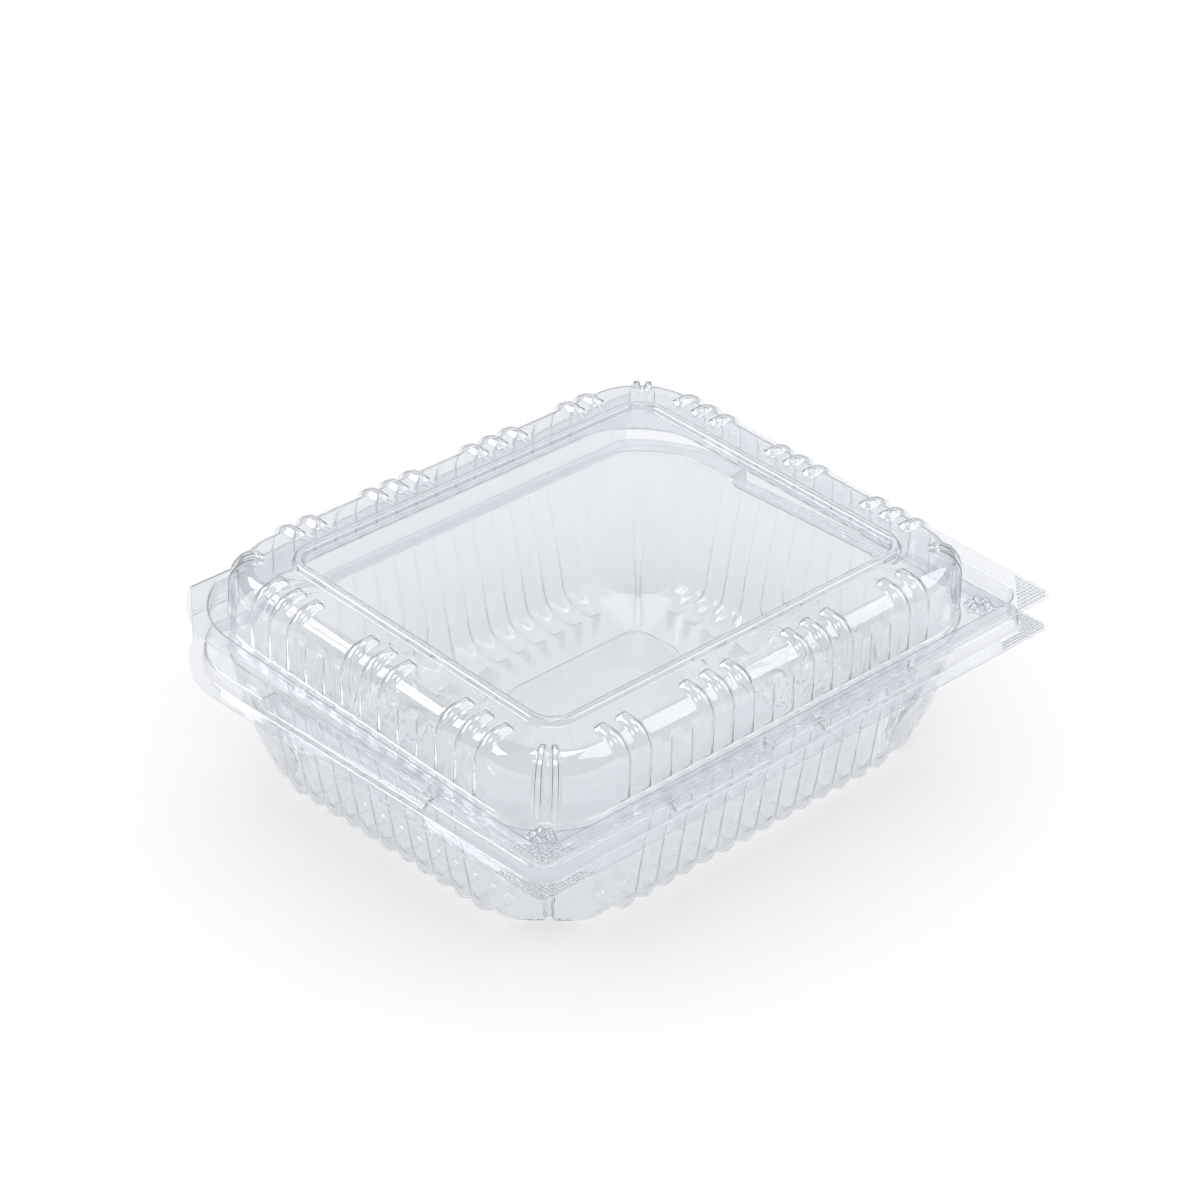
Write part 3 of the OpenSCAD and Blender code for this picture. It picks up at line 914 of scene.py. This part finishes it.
@dataclass
class CornerButtons:
    """Petalled buttons pressed up from the lid's ledge at its two front corners."""

    lid: LidShell
    name: str = "corner_buttons"
    place: tuple[float, float] = (21.3, 20.6)
    radius: float = 4.6
    height: float = 1.9
    sheet_share: float = 0.75
    petals: int = 6
    points: int = 72
    petal_reach: float = 0.16
    petal_rise: float = 0.4
    flank: Ramp = Ramp(0.0, 0.4)
    heart: Ramp = Ramp(0.0, 0.5)
    dimple: Ramp = Ramp(0.12, 0.2)
    dimple_depth: float = 0.75
    lowest: float = 0.06
    shares: tuple[float, ...] = (1.0, 0.94, 0.88, 0.8, 0.72, 0.64, 0.55, 0.46, 0.38, 0.32, 0.27, 0.22,
                                 0.17, 0.12, 0.06)

    def loop(self, share: float, middle: Vector) -> list[Vector]:
        """One loop of a button.

        Args:
            share: distance from the middle, as a share of the radius.
            middle: middle of the button, at the level of the ledge.

        Returns:
            Points round the loop, in the lid's own millimetres.
        """
        made = []
        dimple = self.dimple_depth * (1 - self.dimple.at(share))
        for i in range(self.points):
            angle = 2 * math.pi * i / self.points
            petal = 0.5 + 0.5 * math.cos(self.petals * angle)
            out = self.radius * share * (1 - self.petal_reach + self.petal_reach * petal)
            swell = self.flank.at(1 - share) * (1 - self.petal_rise
                                                + self.petal_rise * petal * self.heart.at(share))
            rise = self.height * max(swell - dimple, self.lowest)
            made.append(middle + Vector((out * math.cos(angle), out * math.sin(angle), rise)))
        return made

    def build(self) -> bpy.types.Object:
        """Loft both buttons.

        Returns:
            Their object.
        """
        rim = self.lid.rim
        both = bmesh.new()
        for side in (-1, 1):
            middle = Vector((side * (rim.core_x + self.place[0]), -rim.core_y - self.place[1],
                             rim.sheet - self.lid.step_h))
            mesh = loft([self.loop(share, middle) for share in self.shares])
            part = bpy.data.meshes.new(self.name)
            mesh.to_mesh(part)
            mesh.free()
            both.from_mesh(part)
            bpy.data.meshes.remove(part)
        bmesh.ops.recalc_face_normals(both, faces=both.faces)
        bmesh.ops.transform(both, matrix=Matrix.Scale(MM, 4) @ self.lid.placing(), verts=both.verts)
        return finished(both, self.name, rim.sheet * self.sheet_share)

    def dress(self, piece: bpy.types.Object, finishes: Sequence[bpy.types.Material]) -> None:
        """Give the buttons their finishes and set them on the lid."""
        wear(piece, finishes)
        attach(piece, Body.LID.value)


@dataclass
class GripPads:
    """Knurled finger tabs on the two front corners of a flange."""

    shell: FormedShell
    name: str
    level: float
    flange_w: float
    pitch: float
    run: float
    edge: float = 0.75
    stud_share: float = 0.62
    stud_h: float = 0.32
    stud_sink: float = 0.05
    foot_share: float = 0.7
    tip_share: float = 0.35

    def inside(self, a: float, b: float) -> bool:
        """Whether a stud stands on the pad.

        Args:
            a: distance from the flange's side edge.
            b: distance from the flange's front edge.

        Returns:
            True on the flange between its edge and its step, within the pad's run.
        """
        rim = self.shell.rim
        tip = rim.tab_r - math.hypot(max(0.0, rim.tab_r - a), max(0.0, rim.tab_r - b))
        if min(a, b) < self.edge or tip < self.edge:
            return False
        foot = self.flange_w + rim.step_r
        step = rim.step_r - math.hypot(max(0.0, foot - a), max(0.0, foot - b))
        return (step < -self.edge or min(a, b) < self.flange_w - self.edge) and a + b < self.run

    def build(self) -> bpy.types.Object:
        """Stand a field of small blunt pyramids on both corners.

        Returns:
            Their object.
        """
        rim = self.shell.rim
        mesh = bmesh.new()
        count = math.ceil(self.run / self.pitch)
        stud = self.pitch * self.stud_share
        turn = Matrix.Rotation(math.pi / 4, 4, "Z")
        spots = [(i * self.pitch, j * self.pitch) for i in range(count) for j in range(count)]
        for side in (-1, 1):
            for a, b in (spot for spot in spots if self.inside(*spot)):
                x = side * (rim.core_x + rim.flange_off - a)
                y = b - rim.core_y - rim.flange_off
                place = Matrix.Translation((x, y, self.level + self.stud_h / 2 - self.stud_sink))
                bmesh.ops.create_cone(mesh, cap_ends=True, segments=4, radius1=stud * self.foot_share,
                                      radius2=stud * self.tip_share, depth=self.stud_h, matrix=place @ turn)
        bmesh.ops.transform(mesh, matrix=Matrix.Scale(MM, 4) @ self.shell.placing(), verts=mesh.verts)
        return finished(mesh, self.name)

    def dress(self, piece: bpy.types.Object, finishes: Sequence[bpy.types.Material]) -> None:
        """Give the pads the frosted finish and set them on the flange's body."""
        wear(piece, finishes[1:])
        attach(piece, self.shell.body.value)


@dataclass
class CreaseStrip:
    """Bending strip of the one-piece hinge, between the two halves of its strap."""

    rim: Rim
    name: str = "hinge_crease"
    rows: int = 8

    def build(self) -> bpy.types.Object:
        """Extrude a line upwards into a strip across the crease.

        Returns:
            The strip's object.
        """
        rim = self.rim
        half = rim.core_x + math.sqrt(rim.flange_off ** 2 - rim.hinge_off ** 2)
        tall = rim.crease_gap + rim.sheet
        base = rim.crease + Vector((0, -rim.crease_gap / 2, -tall / 2))
        mesh = bmesh.new()
        ends = [mesh.verts.new(base + Vector((s * half, 0, 0))) for s in (-1, 1)]
        edges = [mesh.edges.new(ends)]
        for _ in range(self.rows):
            edges, moved = grow(mesh, edges)
            bmesh.ops.translate(mesh, vec=(0, 0, tall / self.rows), verts=moved)
        bmesh.ops.recalc_face_normals(mesh, faces=mesh.faces)
        bmesh.ops.transform(mesh, matrix=Matrix.Scale(MM, 4), verts=mesh.verts)
        return finished(mesh, self.name, rim.sheet)

    def dress(self, piece: bpy.types.Object, finishes: Sequence[bpy.types.Material]) -> None:
        """Give the strip its finishes and bake its place into its mesh; it rides on neither body."""
        wear(piece, finishes)
        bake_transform(piece)


@dataclass(frozen=True)
class Softbox:
    """Square lamp: its name, its place and side in metres, and its power in watts."""

    name: str
    place: tuple[float, float, float]
    size: float
    watts: float

    def hang(self, aim: Vector) -> None:
        """Hang the lamp so that it shows in the gloss alone, since the sky lights the floor.

        Args:
            aim: point that it faces, in metres.
        """
        data = bpy.data.lights.new(self.name, "AREA")
        data.size = self.size
        data.energy = self.watts
        made = bpy.data.objects.new(self.name, data)
        made.location = self.place
        made.rotation_euler = (aim - Vector(self.place)).to_track_quat("-Z", "Y").to_euler()
        made.visible_diffuse = False
        bpy.context.scene.collection.objects.link(made)


@dataclass(frozen=True)
class Studio:
    """White table-top studio: pale floor, soft lamps and the camera at the photograph's angle."""

    camera_mm: tuple[float, float, float] = (-612.5, -650.7, 587.0)
    azimuth: float = -43.33
    elevation: float = 31.0
    lens: float = 110.4
    sensor: float = 36.0
    floor_m: float = 8.0
    sky_colour: str = "#FFFFFF"
    sky: float = 1.14
    seen: float = 1.0
    mirrored: float = 0.1
    through: float = 0.36
    aim_m: tuple[float, float, float] = (0.0, 0.0, 0.04)
    bounces: int = 16
    clear_bounces: int = 24
    lamps: tuple[Softbox, ...] = (
        Softbox("top_softbox", (0.26, 0.13, 1.3), 0.5, 5.0),
        Softbox("window_left", (-0.85, 0.68, 0.95), 0.5, 7.0),
        Softbox("window_right", (-0.32, 0.98, 0.98), 0.5, 7.0),
        Softbox("front_softbox", (0.8, -0.49, 1.0), 1.1, 9.0),
        Softbox("near_softbox", (-0.5, -0.46, 1.05), 0.35, 2.5),
        Softbox("bounce_card", (0.86, 0.91, 0.82), 1.0, 2.4),
    )

    def floor(self) -> None:
        """Lay a pale floor under the pack."""
        mesh = bmesh.new()
        bmesh.ops.create_grid(mesh, x_segments=1, y_segments=1, size=self.floor_m / 2)
        made = finished(mesh, "floor")
        wear(made, [Paper().material()])

    def world(self) -> None:
        """Light the room evenly: white to the camera, darker through the sheet and where it mirrors."""
        world = bpy.data.worlds.new("studio")
        bpy.context.scene.world = world
        world.use_nodes = True
        tree = world.node_tree
        tree.nodes.clear()
        path = add_node(tree, "ShaderNodeLightPath").outputs
        level = add_node(tree, "ShaderNodeMix", {"A": self.sky, "B": self.mirrored},
                         {"Factor": path["Is Glossy Ray"]})
        level = add_node(tree, "ShaderNodeMix", {"B": self.through},
                         {"Factor": path["Is Transmission Ray"], "A": level.outputs["Result"]})
        level = add_node(tree, "ShaderNodeMix", {"B": self.seen},
                         {"Factor": path["Is Camera Ray"], "A": level.outputs["Result"]})
        back = add_node(tree, "ShaderNodeBackground", {"Color": linear(self.sky_colour)},
                        {"Strength": level.outputs["Result"]})
        add_node(tree, "ShaderNodeOutputWorld", links={"Surface": back.outputs["Background"]})

    def camera(self, shift: float) -> None:
        """Set the camera where the photograph was taken from.

        Args:
            shift: shift of the pack along Y from its corner centres' middle, in millimetres.
        """
        data = bpy.data.cameras.new("camera")
        data.lens = self.lens
        data.sensor_width = self.sensor
        made = bpy.data.objects.new("camera", data)
        made.location = (Vector(self.camera_mm) + Vector((0, shift, 0))) * MM
        a, e = math.radians(self.azimuth), math.radians(self.elevation)
        back = Vector((math.sin(a) * math.cos(e), -math.cos(a) * math.cos(e), math.sin(e)))
        made.rotation_euler = (-back).to_track_quat("-Z", "Y").to_euler()
        bpy.context.scene.collection.objects.link(made)
        bpy.context.scene.camera = made

    def build(self, shift: float) -> None:
        """Set up floor, lamps, world, camera and light paths."""
        self.floor()
        for lamp in self.lamps:
            lamp.hang(Vector(self.aim_m))
        self.world()
        self.camera(shift)
        scene = bpy.context.scene
        scene.view_settings.view_transform = "Standard"
        # Sight lines cross many sheets, and a few lamps need no light tree
        scene.cycles.max_bounces = self.bounces
        scene.cycles.transmission_bounces = self.bounces
        scene.cycles.transparent_max_bounces = self.clear_bounces
        scene.cycles.caustics_refractive = False
        scene.cycles.use_light_tree = False


def main() -> None:
    """Build every piece in order, dress it and set up the studio."""
    logging.basicConfig(level=logging.INFO, format="%(name)s: %(message)s")
    rim = Rim()
    finishes = [ClearPet().material(), CutEdge().material()]
    tray = TrayShell("tray_shell", Body.TRAY, "base_tray", rim, strap_way=1.0)
    lid = LidShell("lid_shell", Body.LID, "lid", rim, strap_way=-1.0)
    makers = [
        tray,
        lid,
        CreaseStrip(rim),
        CornerButtons(lid),
        GripPads(lid, "lid_grip_pads", level=0.0, flange_w=lid.flange_w, pitch=1.3, run=15.5),
        GripPads(tray, "tray_grip_pads", level=tray.flange_z, flange_w=tray.flange_w, pitch=1.05, run=21.0),
    ]
    for maker in makers:
        piece = maker.build()
        maker.dress(piece, finishes)
        log.info("built %s with %d faces", piece.name, len(piece.data.polygons))
    Studio().build(rim.shift)


if __name__ == "__main__":
    main()
